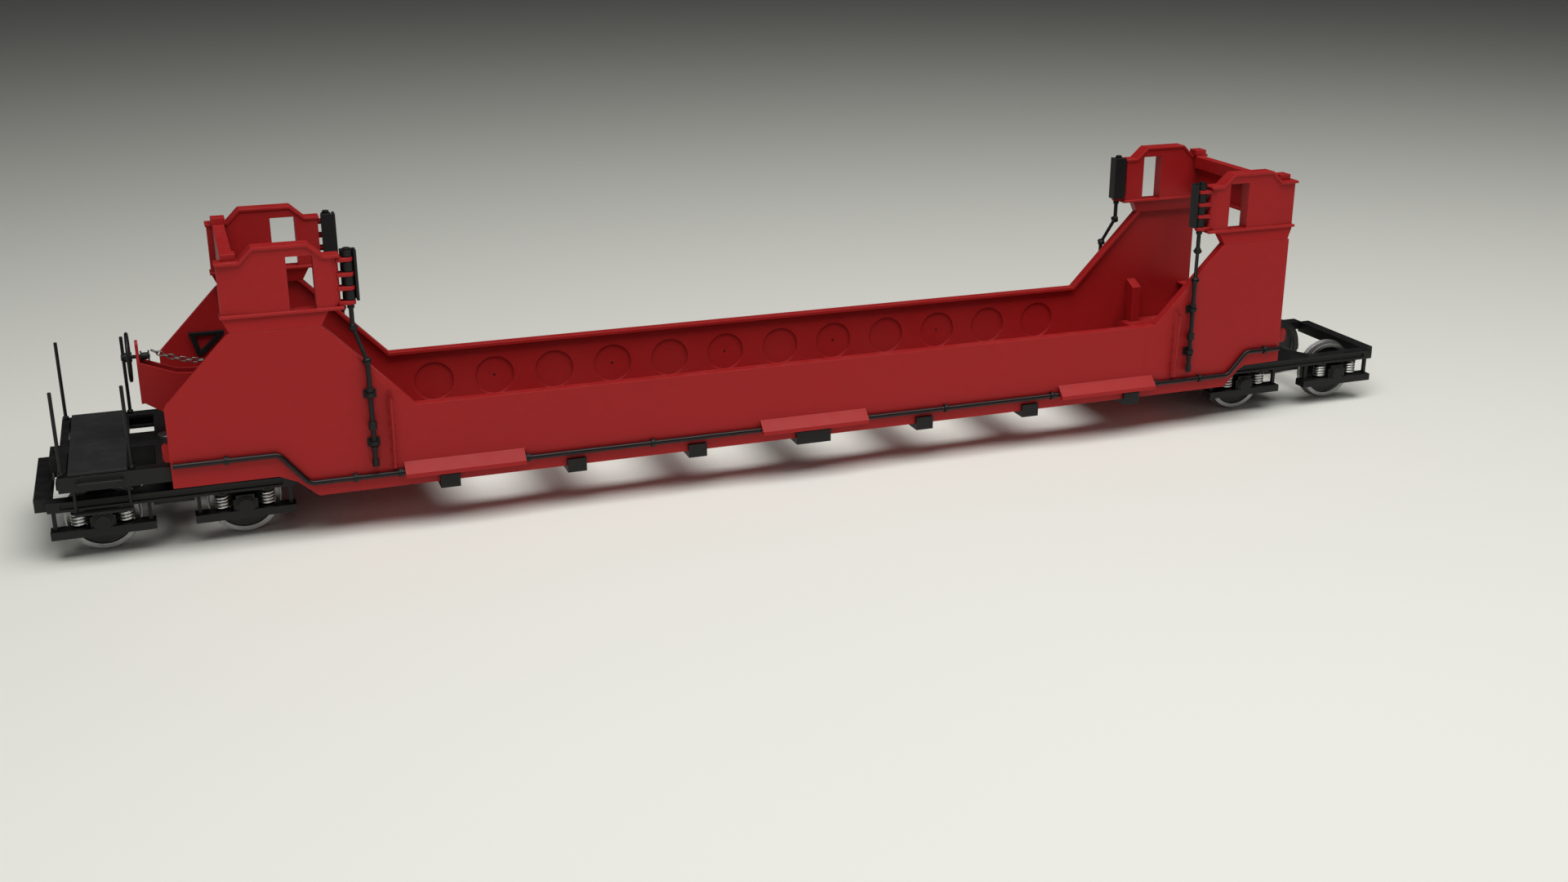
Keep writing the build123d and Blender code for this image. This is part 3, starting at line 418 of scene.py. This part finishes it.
def hexhead(bm, origin, axis, r, h, turn=0.0):
    """A hex bolt head with a chamfered crown and a washer under it."""
    o, w = Vector(origin), Vector(axis).normalized()
    lathe(bm, o - w * 0.1 * MM, w, [(0, 0), (0, r * 1.30), (0.1 * MM + h * 0.16, r * 1.30), (0.1 * MM + h * 0.22, r * 1.22), (0.1 * MM + h * 0.22, 0)], 20)
    u = w.orthogonal().normalized()
    v = w.cross(u)
    levels = [(h * 0.20, 1.0), (h * 0.86, 1.0), (h, 0.84)]
    rings = [[bm.verts.new(o + w * z + (u * math.cos(math.pi / 3 * k + turn) + v * math.sin(math.pi / 3 * k + turn)) * r * s) for k in range(6)] for z, s in levels]
    for A, B in zip(rings, rings[1:]):
        for k in range(6):
            bm.faces.new((A[k], A[(k + 1) % 6], B[(k + 1) % 6], B[k]))
    bm.faces.new(rings[-1])
    bm.faces.new(list(reversed(rings[0])))


def rounded(node, width, seg=2, angle=32.0, dissolve=0.4, skip=None, mat=None):
    """Stands for a CAD node with the same shape, its sharp edges really rounded. Tries the width asked for, then less. Leaves the CAD node if the mesh wouldn't stay closed, in place and the same size."""
    src = NODES[node]
    ref = bmesh.new()
    ref.from_mesh(src.data)
    bmesh.ops.remove_doubles(ref, verts=ref.verts, dist=1.5e-6)
    tree = BVHTree.FromBMesh(ref)
    v0 = ref.calc_volume()
    lo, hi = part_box(node)
    for k, clamp in ((1.0, False), (0.75, False), (0.55, False), (0.4, False), (1.0, True)):
        w = width * k
        bm = ref.copy()
        for layer in list(bm.loops.layers.uv):
            bm.loops.layers.uv.remove(layer)
        bmesh.ops.dissolve_limit(bm, angle_limit=math.radians(dissolve), verts=bm.verts, edges=bm.edges, delimit=set())
        sharp = [e for e in bm.edges if len(e.link_faces) == 2 and e.calc_face_angle(0.0) > math.radians(angle)]
        if skip:
            sharp = [e for e in sharp if not skip((e.verts[0].co + e.verts[1].co) / 2 * 1000)]
        bmesh.ops.bevel(bm, geom=sharp, offset=w, offset_type="OFFSET", segments=seg, profile=0.5, affect="EDGES", clamp_overlap=clamp, miter_outer="SHARP", miter_inner="SHARP", loop_slide=True)
        bmesh.ops.remove_doubles(bm, verts=bm.verts, dist=1e-7)
        bmesh.ops.triangulate(bm, faces=[f for f in bm.faces if len(f.verts) > 4], ngon_method="BEAUTY")
        bm.normal_update()
        open_edges = sum(1 for e in bm.edges if len(e.link_faces) != 2)
        far, flipped = 0.0, 0.0
        for v in bm.verts:
            hit = tree.find_nearest(v.co)
            far = max(far, hit[3])
        total = 0.0
        for f in bm.faces:
            ar = f.calc_area()
            total += ar
            hit = tree.find_nearest(f.calc_center_median())
            if hit[1].dot(f.normal) < -0.3:
                flipped += ar
        ratio = bm.calc_volume() / v0
        inside = all(lo[i] - 2e-5 < v.co[i] < hi[i] + 2e-5 for v in bm.verts for i in range(3))
        ok = open_edges == 0 and abs(ratio - 1) < 0.05 and inside and far < 0.75 * w + 3e-6 and flipped < 2e-4 * total
        print("ROUNDED", node, "w", round(w * 1000, 3), "clamp" if clamp else "", "edges", len(sharp), "open", open_edges, "volume", round(ratio, 4), "far", round(far * 1000, 3), "flipped", round(flipped / total, 5), "faces", len(bm.faces), "ok" if ok else "no")
        if ok:
            break
        bm.free()
    ref.free()
    if not ok:
        return None
    o = link(bm, node + "_finished", mat or M[SLOT[node]], BODY[node])
    m = o.modifiers.new("normals", "WEIGHTED_NORMAL")
    m.keep_sharp = True
    m.weight = 80
    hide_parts(node)
    return o


# ------------------------------------------------------------------ CAD nodes: materials
for n, o in NODES.items():
    mat = M[SLOT[n]] if SLOT[n] in M else None
    if SLOT[n] == "wheel_steel":
        lo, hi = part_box(n)
        c = (lo + hi) / 2
        mat = wheel_steel("turned_wheel_" + n[-2:], c.x, c.z, 11.75 * MM, 12.15 * MM)
    if n == "brake_chain":
        mat = M["chain_steel"]
    o.data.materials.clear()
    o.data.materials.append(mat)

# ------------------------------------------------------------------ finished edges
OX, OZ = 5.65, 1.0                                     # the row frame is the car's own frame moved by this much, mm


def X(p):
    return abs(p.x - OX)


def fins_and_lugs(p):
    return (188.8 < X(p) < 192.0 and abs(p.y) > 43.1) or (p.x - OX > 251.0 and 37.0 < p.z < 48.5) or (p.x - OX < -278.5 and 40.0 < p.z < 51.0)


def hinge_side(p):
    return X(p) < 207.4


WIDTHS = {"axle_": 0.20, "container_seats": 0.20, "cross_beams": 0.28, "cross_members": 0.22, "end_brackets": 0.22,
          "end_bulkheads": 0.22, "guide_flap_": 0.22, "hinge_rod_": 0.20, "king_pins": 0.22, "platform_deck": 0.25,
          "platform_posts": 0.20, "well_floor": 0.22, "wheels_": 0.20, "brake_stand": 0.16, "end_frame_b": 0.16,
          "lower_shaft_": 0.16, "axleboxes_": 0.20, "bogie_frame_": 0.20, "brake_shaft": 0.14, "end_frame_a": 0.20,
          "pipe_clamps": 0.14, "shaft_brackets": 0.14, "side_plate_": 0.26, "tower_": 0.24}
def sill_slot(p):
    return X(p) < 210.0 and abs(p.y) < 9.7


SKIP = {"side_plate_": fins_and_lugs, "tower_": hinge_side, "end_bulkheads": sill_slot}
for n in sorted(NODES):
    for key in WIDTHS:
        if n.startswith(key):
            rounded(n, WIDTHS[key] * MM, skip=SKIP.get(key), mat=NODES[n].data.materials[0])
            break

# ------------------------------------------------------------------ rivets
bm = bmesh.new()
for sx in (-1, 1):
    for sy in (-1, 1):
        for z in (29.2, 35.2, 41.0, 46.8, 52.6):
            for off in (-1.25, 1.25):
                dome(bm, ((sx * (190.35 + off) + OX) * MM, sy * 43.5 * MM, (z + OZ) * MM), (0, sy, 0), 0.52 * MM, 0.34 * MM)
link(bm, "rib_rivets", M["red_paint"], "car_body")

bm = bmesh.new()
for sy in (-1, 1):
    for i in (1, 3, 5, 7, 9):
        dome(bm, ((-159.5 + 29.0 * i + OX) * MM, sy * 42.6 * MM, (37.6 + OZ) * MM), (0, -sy, 0), 0.55 * MM, 0.40 * MM)
link(bm, "recess_studs", M["black_paint"], "car_body")

# ------------------------------------------------------------------ springs
def coil(bm, cx, cy, z0, z1, R, wire, turns, hand=1.0, steps=30, sides=12):
    """A compression spring with closed end turns between z0 and z1."""
    dead = 0.40
    total = turns + 2 * dead
    n = int(total * steps)
    pts = []
    rise = (z1 - z0) - 2 * wire
    for i in range(n + 1):
        t = total * i / n
        if t < dead:
            f = 0.10 * (t / dead) ** 2
        elif t > total - dead:
            f = 1 - 0.10 * ((total - t) / dead) ** 2
        else:
            f = 0.10 + 0.80 * (t - dead) / turns
        a = hand * 2 * math.pi * t
        pts.append((cx + R * math.cos(a), cy + R * math.sin(a), z0 + wire + rise * f))
    sweep_tube(bm, pts, wire, sides)


SEAT_LO, SEAT_HI = 14.2 * MM, 21.2 * MM
for n in sorted(k for k in NODES if k.startswith("springs_")):
    tag = n[-2:]
    lo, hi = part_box(n)
    cx = (lo.x + hi.x) / 2
    bm = bmesh.new()
    for sy in (-1, 1):
        for k in (-1, 1):
            coil(bm, cx + k * 9.2 * MM, sy * 31.0 * MM, SEAT_LO, SEAT_HI, 2.68 * MM, 0.56 * MM, 3.4, hand=1.0)
    wire = spring_steel("spring_wire_" + tag, cx, 9.2 * MM, 31.0 * MM, 2.45 * MM, 2.85 * MM)
    o = link(bm, "coil_springs_" + tag, wire, BODY[n])
    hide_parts(n)
    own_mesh(o)


# ------------------------------------------------------------------ stage, light, camera
def stage():
    me = bpy.data.meshes.new("floor")
    bm = bmesh.new()
    v = [bm.verts.new(p) for p in ((-14, -6, 0), (14, -6, 0), (14, 16, 0), (-14, 16, 0))]
    bm.faces.new(v)
    bm.to_mesh(me)
    bm.free()
    f = bpy.data.objects.new("floor", me)
    bpy.context.scene.collection.objects.link(f)
    g = Graph("floor_paper")
    c = g.mix(g.range(g.noise(2.0, 2.0), 0.3, 0.7), (0.925, 0.927, 0.870), (0.940, 0.942, 0.890))
    f.data.materials.append(g.finish(c, 0.62, spec=0.25))
    f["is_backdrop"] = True


def area(name, loc, target, sx, sy, power, color=(1, 1, 1)):
    d = bpy.data.lights.new(name, "AREA")
    d.shape = "RECTANGLE"
    d.size, d.size_y, d.energy, d.color = sx, sy, power, color
    o = bpy.data.objects.new(name, d)
    bpy.context.scene.collection.objects.link(o)
    o.location = loc
    o.rotation_euler = (Vector(target) - Vector(loc)).to_track_quat("-Z", "Y").to_euler()
    return o


stage()
area("top_softbox", (0.05, -0.42, 1.20), (0.0, -0.05, 0.0), 1.7, 0.9, 17.5, (1.0, 0.997, 0.975))
area("front_fill", (-0.55, -1.9, 0.9), (0.0, 0.0, 0.05), 1.6, 0.9, 3.0, (1.0, 0.99, 0.975))
w = bpy.data.worlds.new("world")
bpy.context.scene.world = w
w.use_nodes = True
w.node_tree.nodes["Background"].inputs[0].default_value = (0.92, 0.94, 0.92, 1)
w.node_tree.nodes["Background"].inputs[1].default_value = 0.030

cam_data = bpy.data.cameras.new("camera")
cam_data.sensor_width = 36.0
cam_data.lens = 39.84
cam_data.clip_start, cam_data.clip_end = 0.01, 60.0
cam = bpy.data.objects.new("camera", cam_data)
bpy.context.scene.collection.objects.link(cam)
R = ((0.94002861, -0.3410925, -0.00145836), (-0.11358154, -0.30898605, -0.94425995), (0.32162938, 0.88779701, -0.32919754))
m = Matrix.Identity(4)
for i in range(3):
    m[i][0], m[i][1], m[i][2] = R[0][i], -R[1][i], -R[2][i]
m[0][3], m[1][3], m[2][3] = -0.26548, -0.75283, 0.28193
cam.matrix_world = m
bpy.context.scene.camera = cam
bpy.context.scene.view_settings.view_transform = "Standard"
bpy.context.scene.view_settings.look = "None"

lo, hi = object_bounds()
